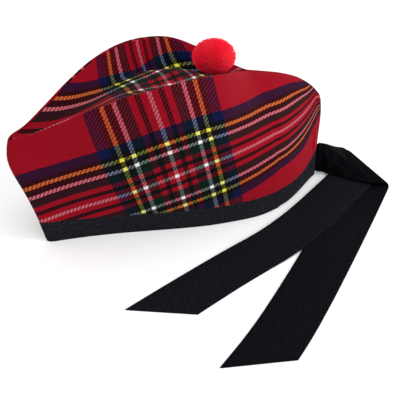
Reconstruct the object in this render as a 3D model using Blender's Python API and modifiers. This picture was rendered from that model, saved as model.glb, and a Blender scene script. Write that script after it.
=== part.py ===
"""Glengarry: a boat-shaped wool cap with a folded crown, a bound rim, a pompom and two ribbon tails.

Metres, +Z up. The cap stands opened on its rim at Z = 0. Its front seam faces -X, its rear seam +X,
and the ribbon tails lie on the same surface on the -Y side.
"""
from collections import namedtuple
from math import cos, pi, radians, sin, sqrt

import bmesh
import bpy
import numpy as np
from mathutils import Vector

# Cap body
RIM_LENGTH = 0.281
RIM_WIDTH = 0.093
CROWN_WIDTH = 0.111
RIDGE_HEIGHT = 0.152
PROW_REACH = 0.0225
PROW_SWELL = 0.0055
CROWN_DIP = 0.024
CROWN_RIPPLE = 0.006
CLOTH_WALL = 0.0016
BODY_GAP = 0.0003

# Ribbon binding round the rim
BAND_HEIGHT = 0.0205
BAND_WALL = 0.0022
BAND_PROUD = 0.0003
BAND_HEM = 0.0015
BAND_SEAM = 0.0005

# Pompom. Its place is a share of the rim's length
TOORIE_WIDTH = 0.0390
TOORIE_HEIGHT = 0.0310
TOORIE_PLACE = 0.587
LOCK_COUNT = 64
LOCK_DEPTH = 0.0024

# Ribbon tails
TAIL_WIDTH = 0.0443
TAIL_LENGTH = 0.300
TAIL_WALL = 0.0010
TAIL_CUT = 0.036
FOLD_REACH = 0.050
FOLD_BORE_NEAR = 0.0005
FOLD_BORE_FAR = 0.0032
GATHER_HEIGHT = 0.029
GATHER_FOOT = 0.003
GATHER_BELLY = 0.007
PUCKER_DEPTH = 0.0011
PUCKER_COUNT = 2
PUCKER_SPAN = 0.45
NEAR_PULL = 0.6
FAR_PULL = 0.8
LAYER_SLACK = 0.5

# Fineness of the lofts
RIBS_PER_SECTION = 3
WALL_ROWS = 8
BAND_ROWS = 2
CROWN_NEAR_ROWS = 10
CROWN_FAR_ROWS = 6
TAIL_ROWS = 5
GATHER_STEPS = 20
FOLD_STEPS = 6
TAIL_STEPS = 24
PATH_STEPS = 200
HALVINGS = 40
SMALL_STEP = 0.01
MERGE_DISTANCE = 0.00005

# Sections of one side, front seam to rear seam. rim_x is a share of RIM_LENGTH, rim_y and bulge of half
# RIM_WIDTH, lean of PROW_REACH, swell of PROW_SWELL, top_y of half CROWN_WIDTH, top_z of RIDGE_HEIGHT, dip
# of CROWN_DIP and ripple of CROWN_RIPPLE. arch runs from 0, a straight wall, to 1, a quarter ellipse that
# closes over the top. fold places the bottom of the crown's valley: 0 is the middle, 1 the far ridge.
Section = namedtuple("Section", "rim_x rim_y lean swell top_y top_z arch bulge dip fold ripple")
SECTIONS = (
    Section(0.000, 0.00, 1.00, 1.0, 0.000, 0.670, 0.00, 0.00, 0.00, 0.00, 0.00),
    Section(0.005, 0.06, 1.00, 1.0, 0.045, 0.690, 0.00, 0.00, 0.00, 0.00, 0.00),
    Section(0.020, 0.10, 1.00, 0.9, 0.090, 0.705, 0.00, 0.00, 0.05, 0.00, 0.00),
    Section(0.065, 0.15, 1.00, 0.5, 0.187, 0.726, 0.00, 0.00, 0.15, 0.00, -0.10),
    Section(0.135, 0.24, 1.00, 0.1, 0.364, 0.785, 0.00, 0.01, 0.34, 0.02, -0.28),
    Section(0.224, 0.38, 1.00, 0.0, 0.595, 0.864, 0.00, 0.02, 0.55, 0.24, -0.26),
    Section(0.320, 0.56, 1.00, 0.0, 0.802, 0.938, 0.00, 0.03, 0.73, 0.48, 0.00),
    Section(0.420, 0.75, 1.00, 0.0, 0.959, 0.982, 0.03, 0.04, 0.86, 0.58, 0.42),
    Section(0.510, 0.89, 0.95, 0.0, 0.973, 0.998, 0.08, 0.06, 0.91, 0.60, 0.75),
    Section(0.598, 0.97, 0.90, 0.0, 0.868, 0.981, 0.22, 0.09, 0.82, 0.45, 0.25),
    Section(0.676, 1.00, 0.80, 0.0, 0.500, 0.918, 0.50, 0.11, 0.55, 0.15, 0.00),
    Section(0.747, 0.92, 0.70, 0.0, 0.090, 0.846, 0.76, 0.14, 0.10, 0.00, 0.00),
    Section(0.778, 0.84, 0.65, 0.0, 0.000, 0.829, 0.82, 0.15, 0.00, 0.00, 0.00),
    Section(0.818, 0.74, 0.60, 0.0, 0.000, 0.809, 0.86, 0.16, 0.00, 0.00, 0.00),
    Section(0.876, 0.53, 0.50, 0.0, 0.000, 0.775, 0.88, 0.15, 0.00, 0.00, 0.00),
    Section(0.929, 0.31, 0.35, -0.1, 0.000, 0.725, 0.84, 0.11, 0.00, 0.00, 0.00),
    Section(0.970, 0.14, 0.15, -0.2, 0.000, 0.650, 0.62, 0.07, 0.00, 0.00, 0.00),
    Section(0.993, 0.06, 0.02, -0.3, 0.000, 0.580, 0.25, 0.02, 0.00, 0.00, 0.00),
    Section(1.000, 0.00, 0.00, -0.3, 0.000, 0.540, 0.00, 0.00, 0.00, 0.00, 0.00),
)
BULGE_SKEW = 0.62
SWELL_SKEW = 3
CROWN_CURVE = 1.47
CROWN_TIP = 0.0022

# Headings of the two tails on the surface, in degrees from +X, against the share of TAIL_LENGTH
Bend = namedtuple("Bend", "share heading")
LEFT_BENDS = (
    Bend(0.00, 211),
    Bend(0.30, 210),
    Bend(0.50, 203),
    Bend(0.62, 195),
    Bend(0.80, 199),
    Bend(1.00, 200),
)
RIGHT_BENDS = (
    Bend(0.00, 221),
    Bend(0.30, 220),
    Bend(0.60, 219.5),
    Bend(0.80, 218),
    Bend(1.00, 213),
)

# Middle of each tail where it leaves the fold, in widths of the ribbon from the middle plane. The upper
# tail sinks from the lower one to the surface along a stretch given in shares of its length.
LEFT_CREASE = -0.36
RIGHT_CREASE = -0.71
SETTLE_START = 0.56
SETTLE_SPAN = 0.16

# The fold is a cone along the crease, from the near edge to FOLD_LENGTH behind it
CREASE_X = RIM_LENGTH + FOLD_REACH
LAYER = TAIL_WALL + BODY_GAP
FOLD_RADIUS_NEAR = FOLD_BORE_NEAR + LAYER + TAIL_WALL / 2
FOLD_RADIUS_FAR = FOLD_BORE_FAR + LAYER + TAIL_WALL / 2
FOLD_LENGTH = 1.35 * TAIL_WIDTH
FOLD_CONE = (FOLD_RADIUS_FAR - FOLD_RADIUS_NEAR) / FOLD_LENGTH

MATERIALS = {
    "side_left": ((0.42, 0.02, 0.03), 0.90),
    "side_right": ((0.42, 0.02, 0.03), 0.90),
    "crown": ((0.36, 0.02, 0.03), 0.90),
    "band": ((0.012, 0.012, 0.015), 0.75),
    "toorie": ((0.60, 0.01, 0.03), 0.95),
    "tail_left": ((0.006, 0.008, 0.010), 0.60),
    "tail_right": ((0.006, 0.008, 0.010), 0.60),
}


def clear_scene():
    for obj in list(bpy.data.objects):
        bpy.data.objects.remove(obj, do_unlink=True)


def collection(name):
    found = bpy.data.collections.new(name)
    bpy.context.scene.collection.children.link(found)
    return found


def material_for(name):
    colour, roughness = MATERIALS[name]
    mat = bpy.data.materials.new(name)
    mat.use_nodes = True
    shader = mat.node_tree.nodes["Principled BSDF"]
    shader.inputs["Base Color"].default_value = (*colour, 1.0)
    shader.inputs["Roughness"].default_value = roughness
    shader.inputs["Metallic"].default_value = 0.0
    return mat


def new_object(name, mesh, home, root):
    obj = bpy.data.objects.new(name, mesh)
    home.objects.link(obj)
    obj.parent = root
    if name in MATERIALS:
        mesh.materials.append(material_for(name))
    return obj


def grid_mesh(name, grid, flip=False):
    """Mesh of quads over a grid of points. Faces turn round when flip is set."""
    bm = bmesh.new()
    verts = [[bm.verts.new(point) for point in line] for line in grid]
    for low, high in zip(verts, verts[1:]):
        for a, b, c, d in zip(low, low[1:], high[1:], high):
            bm.faces.new((a, b, c, d) if flip else (d, c, b, a))
    mesh = bpy.data.meshes.new(name)
    bm.to_mesh(mesh)
    bm.free()
    mesh.shade_smooth()
    return mesh


def solidify(obj, thickness, offset=-1.0):
    wall = obj.modifiers.new("wall", "SOLIDIFY")
    wall.thickness = thickness
    wall.offset = offset
    wall.use_even_offset = False
    return wall


def smooth_rows(rows, steps):
    """Catmull-Rom rows through the table's rows, with the given steps between two of them."""
    table = np.array(rows, dtype=float)
    padded = np.vstack([2 * table[0] - table[1], table, 2 * table[-1] - table[-2]])
    result = []
    for index in range(len(table) - 1):
        p0, p1, p2, p3 = padded[index:index + 4]
        for step in range(steps):
            t = step / steps
            linear = (p2 - p0) * t
            square = (2 * p0 - 5 * p1 + 4 * p2 - p3) * t * t
            cube = (3 * p1 - p0 - 3 * p2 + p3) * t ** 3
            result.append(0.5 * (2 * p1 + linear + square + cube))
    result.append(table[-1])
    return [Section(*row) for row in result]


def rise(section, share):
    """Share of the top edge's height that the wall has reached."""
    return (1 - section.arch) * share + section.arch * sin(pi * share / 2)


def wall_point(section, share):
    """Point of the near wall's outer face: share 0 at the rim, 1 at the top edge."""
    rim_x = section.rim_x * RIM_LENGTH
    rim_y = max(section.rim_y, 0.0) * RIM_WIDTH / 2
    top_x = rim_x - section.lean * PROW_REACH
    top_y = max(section.top_y, 0.0) * CROWN_WIDTH / 2
    up = rise(section, share)
    inward = 1 - (1 - section.arch) * (1 - share) - section.arch * cos(pi * share / 2)
    belly = section.bulge * RIM_WIDTH / 2 * sin(pi * share ** BULGE_SKEW)
    x = rim_x + (top_x - rim_x) * up - section.swell * PROW_SWELL * sin(pi * share ** SWELL_SKEW)
    y = rim_y + (top_y - rim_y) * inward + belly
    return Vector((x, -y, section.top_z * RIDGE_HEIGHT * up))


def share_at_height(section, height):
    """Share of the wall at which its outer face reaches a height."""
    low, high = 0.0, 1.0
    for _ in range(HALVINGS):
        middle = (low + high) / 2
        if wall_point(section, middle).z < height:
            low = middle
        else:
            high = middle
    return high


def side_grid(sections):
    """Near wall from the top of the band to the ridge and the seams."""
    grid = []
    for section in sections:
        start = share_at_height(section, BAND_HEIGHT + BAND_SEAM)
        shares = [start + (1 - start) * row / WALL_ROWS for row in range(WALL_ROWS + 1)]
        grid.append([wall_point(section, share) for share in shares])
    return grid


def mirrored(grid):
    return [[Vector((p.x, -p.y, p.z)) for p in line] for line in grid]


def half_cutter(name, toward, cutters, root):
    """Box that keeps one side of the cap and leaves the seam's gap at the middle plane."""
    reach = RIM_LENGTH + RIM_WIDTH + CROWN_WIDTH + RIDGE_HEIGHT
    bm = bmesh.new()
    bmesh.ops.create_cube(bm, size=2 * reach)
    shift = Vector((RIM_LENGTH / 2, toward * (reach + BODY_GAP / 2), 0))
    bmesh.ops.translate(bm, vec=shift, verts=bm.verts)
    mesh = bpy.data.meshes.new(name)
    bm.to_mesh(mesh)
    bm.free()
    cutter = new_object(name, mesh, cutters, root)
    cutter.hide_render = True
    cutter.display_type = "WIRE"
    return cutter


def make_side(name, grid, toward, parts, cutters, root):
    mesh = grid_mesh(name, grid, flip=toward > 0)
    side = new_object(name, mesh, parts, root)
    solidify(side, CLOTH_WALL)
    seam = side.modifiers.new("seam", "BOOLEAN")
    seam.operation = "INTERSECT"
    seam.use_self = True
    seam.object = half_cutter(name + "_half", toward, cutters, root)
    return side


def make_band(sections, parts, root):
    """Binding round the rim: the near half, mirrored into a closed ring."""
    grid = []
    for section in sections:
        foot = wall_point(section, 0.0)
        line = [foot, Vector((foot.x, foot.y, BAND_HEM))]
        for row in range(1, BAND_ROWS + 1):
            height = BAND_HEM + (BAND_HEIGHT - BAND_HEM) * row / BAND_ROWS
            line.append(wall_point(section, share_at_height(section, height)))
        grid.append(line)
    band = new_object("band", grid_mesh("band", grid), parts, root)
    mirror = band.modifiers.new("far half", "MIRROR")
    mirror.use_axis = (False, True, False)
    mirror.merge_threshold = MERGE_DISTANCE
    solidify(band, BAND_WALL, 2 * BAND_PROUD / BAND_WALL - 1)
    return band


def outward_lean(section):
    """How far the wall leans outward at its top edge, for each unit of height."""
    top, below = wall_point(section, 1.0), wall_point(section, 1 - SMALL_STEP)
    return max((below.y - top.y) / (top.z - below.z), 0.0)


CrownLine = namedtuple("CrownLine", "near far dip fold ripple")


def crown_seat(section, slope):
    """Room from the wall's outer face to the crown's edge, where the crown meets it at a slope."""
    lean = outward_lean(section)
    slope = max(slope, 0.0)
    wall = CLOTH_WALL * sqrt(1 + lean * lean)
    return wall + BODY_GAP * (1 + slope) + CLOTH_WALL * (slope + lean) / sqrt(1 + slope * slope)


def crown_lines(sections):
    """Lines across the crown, front to rear, each from its near edge to its far one."""
    tops = [wall_point(section, 1.0) for section in sections]
    lines = []
    for index in range(1, len(tops) - 1):
        section = sections[index]
        dip, ripple = section.dip * CROWN_DIP, section.ripple * CROWN_RIPPLE
        half = max(-tops[index].y, CROWN_TIP)
        near_slope = (dip * CROWN_CURVE + 2 * pi * ripple) / (half * (1 + section.fold))
        far_slope = dip * CROWN_CURVE / (half * (1 - section.fold))
        along = tops[index + 1] - tops[index - 1]
        along.z = 0
        along.normalize()
        inward = Vector((-along.y, along.x, 0))
        near = tops[index] + inward * crown_seat(section, near_slope)
        far = tops[index] + inward * crown_seat(section, far_slope)
        far.y = -far.y
        lines.append(CrownLine(near, far, dip, section.fold, ripple))
    return cut_tips(lines)


def between(one, two, share):
    return CrownLine(*(a + (b - a) * share for a, b in zip(one, two)))


def cut_tips(lines):
    """The lines between the two places where the half width is CROWN_TIP, and one at each place."""
    halves = [min(-line.near.y, line.far.y) for line in lines]
    kept = []
    for one, two, half, next_half in zip(lines, lines[1:], halves, halves[1:]):
        if half > CROWN_TIP:
            kept.append(one)
        if (half > CROWN_TIP) != (next_half > CROWN_TIP):
            kept.append(between(one, two, (CROWN_TIP - half) / (next_half - half)))
    return kept


def crown_drop(line, share):
    """How far the crown lies below its edges: share 0 at the near edge, 1 at the far one."""
    bottom = (1 + line.fold) / 2
    if share < bottom:
        run = 1 - share / bottom
        return line.dip * (1 - run ** CROWN_CURVE) - line.ripple * sin(2 * pi * run)
    return line.dip * (1 - ((share - bottom) / (1 - bottom)) ** CROWN_CURVE)


def crown_shares(line):
    """Places of the rows across the crown, with one at the bottom of the valley."""
    bottom = (1 + line.fold) / 2
    near = [bottom * row / CROWN_NEAR_ROWS for row in range(CROWN_NEAR_ROWS)]
    return near + [bottom + (1 - bottom) * row / CROWN_FAR_ROWS for row in range(CROWN_FAR_ROWS + 1)]


def crown_point(line, share):
    point = line.near.lerp(line.far, share)
    point.z -= crown_drop(line, share)
    return point


def make_crown(lines, parts, root):
    """Lens between the ridges, folded down into a lengthwise valley."""
    grid = [[crown_point(line, share) for share in crown_shares(line)] for line in lines]
    crown = new_object("crown", grid_mesh("crown", grid), parts, root)
    solidify(crown, CLOTH_WALL)
    return crown


def crown_height(lines, x, y):
    """Height of the crown's upper face."""
    places = [line.near.x for line in lines]
    place = float(np.interp(x, places, range(len(places))))
    index = min(int(place), len(lines) - 2)
    line = between(lines[index], lines[index + 1], place - index)
    share = min(max((y - line.near.y) / (line.far.y - line.near.y), 0.0), 1.0)
    return line.near.z - crown_drop(line, share)


def lock_directions():
    """Even directions over a ball, one for each lock of wool."""
    golden = pi * (3 - sqrt(5))
    heights = [1 - (2 * index + 1) / LOCK_COUNT for index in range(LOCK_COUNT)]
    rings = [sqrt(1 - height * height) for height in heights]
    return np.array([(ring * cos(golden * index), ring * sin(golden * index), height)
                     for index, (ring, height) in enumerate(zip(rings, heights))])


def make_toorie(lines, parts, root):
    """Pompom: locks of wool fused to one head, seated in the valley of the crown."""
    bm = bmesh.new()
    bmesh.ops.create_icosphere(bm, subdivisions=4, radius=1.0)
    locks = lock_directions()
    reach = 2 / sqrt(LOCK_COUNT)
    size = Vector((TOORIE_WIDTH / 2, TOORIE_WIDTH / 2, TOORIE_HEIGHT / 2))
    for vert in bm.verts:
        direction = vert.co.normalized()
        nearest = np.min(np.linalg.norm(locks - np.array(direction), axis=1)) / reach
        head = size - Vector((LOCK_DEPTH,) * 3) * min(nearest, 1.0) ** 2
        vert.co = Vector([head[axis] * direction[axis] for axis in range(3)])
    station = TOORIE_PLACE * RIM_LENGTH
    under = [vert.co for vert in bm.verts if vert.co.z < 0]
    clear = min(co.z - crown_height(lines, station + co.x, co.y) for co in under)
    mesh = bpy.data.meshes.new("toorie")
    bm.to_mesh(mesh)
    bm.free()
    mesh.shade_smooth()
    toorie = new_object("toorie", mesh, parts, root)
    toorie.location = (station, 0, BODY_GAP - clear)
    return toorie


class Tail:
    """One ribbon tail: its centre line on the surface, its edges, and its fold behind the rear seam."""

    def __init__(self, bends, crease, layer):
        self.lift = layer * LAYER
        self.bends = bends
        first = radians(bends[0].heading)
        self.start = Vector((cos(first), sin(first), 0))
        self.slope = self.start.y / abs(self.start.x)
        middle = crease * TAIL_WIDTH
        self.origin = Vector((CREASE_X - fold_radius(middle), middle, 0))
        self.lying = self.lying_part()
        self.fold = self.fold_part()

    def heading(self, station):
        shares = [bend.share for bend in self.bends]
        return radians(np.interp(station / TAIL_LENGTH, shares, [bend.heading for bend in self.bends]))

    def centre(self, station):
        """Centre line at a distance from the fold, straight before it."""
        if station <= 0:
            return self.origin + self.start * station
        point = self.origin.copy()
        step = station / PATH_STEPS
        for index in range(PATH_STEPS):
            angle = self.heading((index + 0.5) * step)
            point += Vector((cos(angle), sin(angle), 0)) * step
        return point

    def edge(self, station, toward):
        """Edge of the ribbon: toward is 1 for the edge away from the cap, -1 for the one next to it."""
        angle = self.heading(max(station, 0.0))
        across = Vector((-sin(angle), cos(angle), 0))
        return self.centre(station) + across * toward * TAIL_WIDTH / 2

    def first_station(self, toward):
        """Distance at which an edge leaves the fold, where the roll's radius suits its place."""
        across = Vector((-self.start.y, self.start.x, 0)) * toward * TAIL_WIDTH / 2
        corner = self.origin + across
        short = CREASE_X - fold_radius(corner.y) - corner.x
        return short / (self.start.x + FOLD_CONE * self.start.y)

    def lying_part(self):
        """Ribs on the surface, each from the far edge to the near one."""
        far_start, near_start = self.first_station(-1), self.first_station(1)
        far_end = TAIL_LENGTH + TAIL_CUT / 2
        near_end = TAIL_LENGTH - TAIL_CUT / 2
        ribs = []
        for step in range(TAIL_STEPS + 1):
            share = step / TAIL_STEPS
            far = self.edge(far_start + (far_end - far_start) * share, -1)
            near = self.edge(near_start + (near_end - near_start) * share, 1)
            far.z = near.z = TAIL_WALL / 2 + self.lift * settle(share)
            ribs.append([far.lerp(near, row / TAIL_ROWS) for row in range(TAIL_ROWS + 1)])
        return ribs

    def roll(self, foot, turn):
        """Point of the fold above a point of its lowest rib: turn 0 at the top, pi at the foot."""
        y = foot.y - self.slope * (fold_radius(foot.y) - self.lift) * (pi - turn)
        radius = fold_radius(y)
        inner = radius - self.lift
        x = CREASE_X - radius + inner * sin(turn)
        return Vector((x, y, TAIL_WALL / 2 + radius + inner * cos(turn)))

    def fold_part(self):
        """Ribs of the roll from its top to just before the lying part."""
        feet = self.lying[0]
        return [[self.roll(foot, pi * step / FOLD_STEPS) for foot in feet] for step in range(FOLD_STEPS)]


def fold_radius(y):
    """Radius of the outer ribbon's roll, which opens out towards the far side."""
    return FOLD_RADIUS_NEAR + FOLD_CONE * (y + FOLD_LENGTH)


def settle(share):
    """The upper tail lies on the lower one near the fold and sinks to the surface past it."""
    return 1 - min(max((share - SETTLE_START) / SETTLE_SPAN, 0.0), 1.0)


def hermite(start, start_pull, end, end_pull, share):
    """Cubic curve from one point to another with the given pulls."""
    a = 2 * share ** 3 - 3 * share ** 2 + 1
    b = share ** 3 - 2 * share ** 2 + share
    c = 3 * share ** 2 - 2 * share ** 3
    d = share ** 3 - share ** 2
    return start * a + start_pull * b + end * c + end_pull * d


def gather_point(outer, share, across):
    """Point of the gather: share 0 at the seam, 1 at the fold; across 0 at the foot edge, 1 at the top."""
    far_end, near_end = outer.fold[0][0], outer.fold[0][-1]
    seam_x = RIM_LENGTH + BAND_PROUD + BODY_GAP + TAIL_WALL / 2
    foot = Vector((seam_x, 0, GATHER_FOOT))
    head = Vector((seam_x, 0, GATHER_FOOT + GATHER_HEIGHT))
    away = Vector((FOLD_REACH, 0, 0))
    into = Vector((-outer.start.x, outer.start.y, 0)) * FOLD_REACH
    near = hermite(foot, away * NEAR_PULL, near_end, into * NEAR_PULL, share)
    far = hermite(head, away * FAR_PULL, far_end, into * FAR_PULL, share)
    return near.lerp(far, across)


def pucker(share):
    """Height of the puckers along the gather, which fade out behind the seam."""
    fade = max(1 - share / PUCKER_SPAN, 0.0)
    return PUCKER_DEPTH * fade * sin(2 * pi * PUCKER_COUNT * share / PUCKER_SPAN)


def gather_part(tail, outer, depth):
    """Ribs of the gather of a tail, set below the outer tail's by a depth along the normal."""
    top = outer.fold[0]
    span = top[0].y - top[-1].y
    own = tail.fold[0]
    ribs = []
    for step in range(GATHER_STEPS):
        share = step / GATHER_STEPS
        rib = []
        for row in range(TAIL_ROWS + 1):
            at_fold = (own[row].y - top[-1].y) / span
            at_seam = 1 - row / TAIL_ROWS
            across = at_seam + (at_fold - at_seam) * share
            point = gather_point(outer, share, across)
            along = gather_point(outer, share + SMALL_STEP, across) - point
            over = gather_point(outer, share, across + SMALL_STEP) - point
            normal = along.cross(over).normalized()
            belly = Vector((0, -GATHER_BELLY, 0)) * sin(pi * share) * (1 - across)
            room = depth * (1 + LAYER_SLACK * (1 - share))
            rib.append(point + belly + normal * (pucker(share) - room))
        ribs.append(rib)
    return ribs


def make_tail(name, tail, outer, depth, parts, root):
    ribs = gather_part(tail, outer, depth) + tail.fold + tail.lying
    obj = new_object(name, grid_mesh(name, ribs), parts, root)
    solidify(obj, TAIL_WALL, 0.0)
    return obj


def centre_on_base(root, objects):
    """Move the root so that the origin is the middle of the whole cap's base."""
    bpy.context.view_layer.update()
    graph = bpy.context.evaluated_depsgraph_get()
    corners = []
    for obj in objects:
        ready = obj.evaluated_get(graph)
        mesh = ready.to_mesh()
        corners += [obj.matrix_world @ vert.co for vert in mesh.vertices]
        ready.to_mesh_clear()
    points = np.array(corners)
    low, high = points.min(axis=0), points.max(axis=0)
    root.location = (-(low[0] + high[0]) / 2, -(low[1] + high[1]) / 2, -low[2])


def main():
    clear_scene()
    parts = collection("glengarry")
    cutters = collection("cutters")
    root = bpy.data.objects.new("rim_middle", None)
    parts.objects.link(root)
    sections = smooth_rows(SECTIONS, RIBS_PER_SECTION)
    near_side = side_grid(sections)
    lines = crown_lines(sections)
    tail_left = Tail(LEFT_BENDS, LEFT_CREASE, 1)
    tail_right = Tail(RIGHT_BENDS, RIGHT_CREASE, 0)
    objects = [
        make_side("side_left", near_side, -1, parts, cutters, root),
        make_side("side_right", mirrored(near_side), 1, parts, cutters, root),
        make_crown(lines, parts, root),
        make_band(sections, parts, root),
        make_toorie(lines, parts, root),
        make_tail("tail_left", tail_left, tail_right, LAYER, parts, root),
        make_tail("tail_right", tail_right, tail_right, 0.0, parts, root),
    ]
    centre_on_base(root, objects)


main()
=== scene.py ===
"""Looks of the glengarry: tartan wool sides and crown, ribbon binding, wool pompom and two ribbon tails.

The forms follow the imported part's own sizes, on a finer mesh. Metres, +Z up, front at -X.
"""

from collections import namedtuple
from math import cos, pi, radians, sin, sqrt

import bpy
import numpy as np
from mathutils import Matrix, Vector

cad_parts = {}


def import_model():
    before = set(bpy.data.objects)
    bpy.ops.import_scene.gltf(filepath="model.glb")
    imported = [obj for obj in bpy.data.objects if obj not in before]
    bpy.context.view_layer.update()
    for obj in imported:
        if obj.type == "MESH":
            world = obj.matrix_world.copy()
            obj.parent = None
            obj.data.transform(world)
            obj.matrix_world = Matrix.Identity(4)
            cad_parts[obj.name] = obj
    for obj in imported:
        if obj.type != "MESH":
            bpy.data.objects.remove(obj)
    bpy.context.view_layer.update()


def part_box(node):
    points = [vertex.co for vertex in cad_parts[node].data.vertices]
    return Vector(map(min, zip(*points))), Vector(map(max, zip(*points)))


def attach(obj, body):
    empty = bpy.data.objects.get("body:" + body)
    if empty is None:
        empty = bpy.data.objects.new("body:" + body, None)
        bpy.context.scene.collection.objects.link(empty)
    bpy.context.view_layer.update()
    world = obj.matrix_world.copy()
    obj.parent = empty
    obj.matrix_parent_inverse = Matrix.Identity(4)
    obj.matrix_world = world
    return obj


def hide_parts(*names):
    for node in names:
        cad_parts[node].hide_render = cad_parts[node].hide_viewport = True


# Sizes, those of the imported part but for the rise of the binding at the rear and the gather's belly and
# puckers, which are fuller here
RIM_LENGTH = 0.281
RIM_WIDTH = 0.093
CROWN_WIDTH = 0.111
RIDGE_HEIGHT = 0.152
PROW_REACH = 0.0225
PROW_SWELL = 0.0055
CROWN_DIP = 0.024
CROWN_RIPPLE = 0.006
CLOTH_WALL = 0.0016
BODY_GAP = 0.0003
BAND_HEIGHT = 0.0205
BAND_WALL = 0.0022
BAND_PROUD = 0.0003
BAND_HEM = 0.0015
BAND_SEAM = 0.0005
BAND_REAR_RISE = 0.011
BAND_RISE_START = 0.90
TAIL_WIDTH = 0.0443
TAIL_LENGTH = 0.300
TAIL_WALL = 0.0010
TAIL_CUT = 0.036
FOLD_REACH = 0.050
FOLD_BORE_NEAR = 0.0005
FOLD_BORE_FAR = 0.0032
GATHER_HEIGHT = 0.029
GATHER_FOOT = 0.003
GATHER_BELLY = 0.012
PUCKER_DEPTH = 0.0013
PUCKER_COUNT = 3
PUCKER_SPAN = 0.5
NEAR_PULL = 0.6
FAR_PULL = 0.8
LAYER_SLACK = 0.5
FOLD_WIDTHS = 1.35
LEFT_CREASE = -0.36
RIGHT_CREASE = -0.71
SETTLE_START = 0.56
SETTLE_SPAN = 0.16
CREASE_X = RIM_LENGTH + FOLD_REACH
LAYER = TAIL_WALL + BODY_GAP
FOLD_RADIUS_NEAR = FOLD_BORE_NEAR + LAYER + TAIL_WALL / 2
FOLD_RADIUS_FAR = FOLD_BORE_FAR + LAYER + TAIL_WALL / 2
FOLD_LENGTH = FOLD_WIDTHS * TAIL_WIDTH
FOLD_CONE = (FOLD_RADIUS_FAR - FOLD_RADIUS_NEAR) / FOLD_LENGTH

# Sections of one side, as in the part. Along most of the crown, top_y, top_z, dip, fold and ripple follow the
# results of scratch programs that solved for lines read on the photograph, and so does CROWN_CURVE.
Section = namedtuple("Section", "rim_x rim_y lean swell top_y top_z arch bulge dip fold ripple")
SECTIONS = (
    Section(0.000, 0.00, 1.00, 1.0, 0.000, 0.670, 0.00, 0.00, 0.00, 0.00, 0.00),
    Section(0.005, 0.06, 1.00, 1.0, 0.045, 0.690, 0.00, 0.00, 0.00, 0.00, 0.00),
    Section(0.020, 0.10, 1.00, 0.9, 0.090, 0.705, 0.00, 0.00, 0.05, 0.00, 0.00),
    Section(0.065, 0.15, 1.00, 0.5, 0.187, 0.726, 0.00, 0.00, 0.15, 0.00, -0.10),
    Section(0.135, 0.24, 1.00, 0.1, 0.364, 0.785, 0.00, 0.01, 0.34, 0.02, -0.28),
    Section(0.224, 0.38, 1.00, 0.0, 0.595, 0.864, 0.00, 0.02, 0.55, 0.24, -0.26),
    Section(0.320, 0.56, 1.00, 0.0, 0.802, 0.938, 0.00, 0.03, 0.73, 0.48, 0.00),
    Section(0.420, 0.75, 1.00, 0.0, 0.959, 0.982, 0.03, 0.04, 0.86, 0.58, 0.42),
    Section(0.510, 0.89, 0.95, 0.0, 0.973, 0.998, 0.08, 0.06, 0.91, 0.60, 0.75),
    Section(0.598, 0.97, 0.90, 0.0, 0.868, 0.981, 0.22, 0.09, 0.82, 0.45, 0.25),
    Section(0.676, 1.00, 0.80, 0.0, 0.500, 0.918, 0.50, 0.11, 0.55, 0.15, 0.00),
    Section(0.747, 0.92, 0.70, 0.0, 0.090, 0.846, 0.76, 0.14, 0.10, 0.00, 0.00),
    Section(0.778, 0.84, 0.65, 0.0, 0.000, 0.829, 0.82, 0.15, 0.00, 0.00, 0.00),
    Section(0.818, 0.74, 0.60, 0.0, 0.000, 0.809, 0.86, 0.16, 0.00, 0.00, 0.00),
    Section(0.876, 0.53, 0.50, 0.0, 0.000, 0.775, 0.88, 0.15, 0.00, 0.00, 0.00),
    Section(0.929, 0.31, 0.35, -0.1, 0.000, 0.725, 0.84, 0.11, 0.00, 0.00, 0.00),
    Section(0.970, 0.14, 0.15, -0.2, 0.000, 0.650, 0.62, 0.07, 0.00, 0.00, 0.00),
    Section(0.993, 0.06, 0.02, -0.3, 0.000, 0.580, 0.25, 0.02, 0.00, 0.00, 0.00),
    Section(1.000, 0.00, 0.00, -0.3, 0.000, 0.540, 0.00, 0.00, 0.00, 0.00, 0.00),
)
BULGE_SKEW = 0.62
SWELL_SKEW = 3
CROWN_CURVE = 1.47
CROWN_TIP = 0.0022

# Headings of the two tails on the surface, in degrees from +X, against the share of TAIL_LENGTH
Bend = namedtuple("Bend", "share heading")
LEFT_BENDS = (Bend(0, 211), Bend(0.3, 210), Bend(0.5, 203), Bend(0.62, 195), Bend(0.8, 199), Bend(1, 200))
RIGHT_BENDS = (Bend(0, 221), Bend(0.3, 220), Bend(0.6, 219.5), Bend(0.8, 218), Bend(1, 213))

# Fineness of the meshes
SECTION_STEPS = 10
WALL_ROWS = 56
BAND_ROWS = 14
CROWN_NEAR_ROWS = 48
CROWN_FAR_ROWS = 30
EDGE_STEPS = 5
TAIL_ROWS = 18
GATHER_STEPS = 60
FOLD_STEPS = 16
TAIL_STEPS = 120
PATH_STEPS = 120
FINE_SHARES = np.linspace(0, 1, 201)
SMALL_STEP = 0.01
SMALL_REACH = 0.0005
EVENING_REACH = 0.020
TINY = 1e-12

# Camera at the photograph's angle, solved by scratch programs from lines read on the photograph, in the cap's
# own frame: front of the rim at the origin
CAMERA_AZIMUTH = radians(-25.5)
CAMERA_ELEVATION = radians(31.8)
CAMERA_DISTANCE = 0.665
CAMERA_TARGET = Vector((0.118, -0.0704, 0.05))
SENSOR = 36.0
PHOTO_PIXELS = 400
FOCAL_PIXELS = 785.4
LENS = FOCAL_PIXELS * SENSOR / PHOTO_PIXELS

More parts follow.
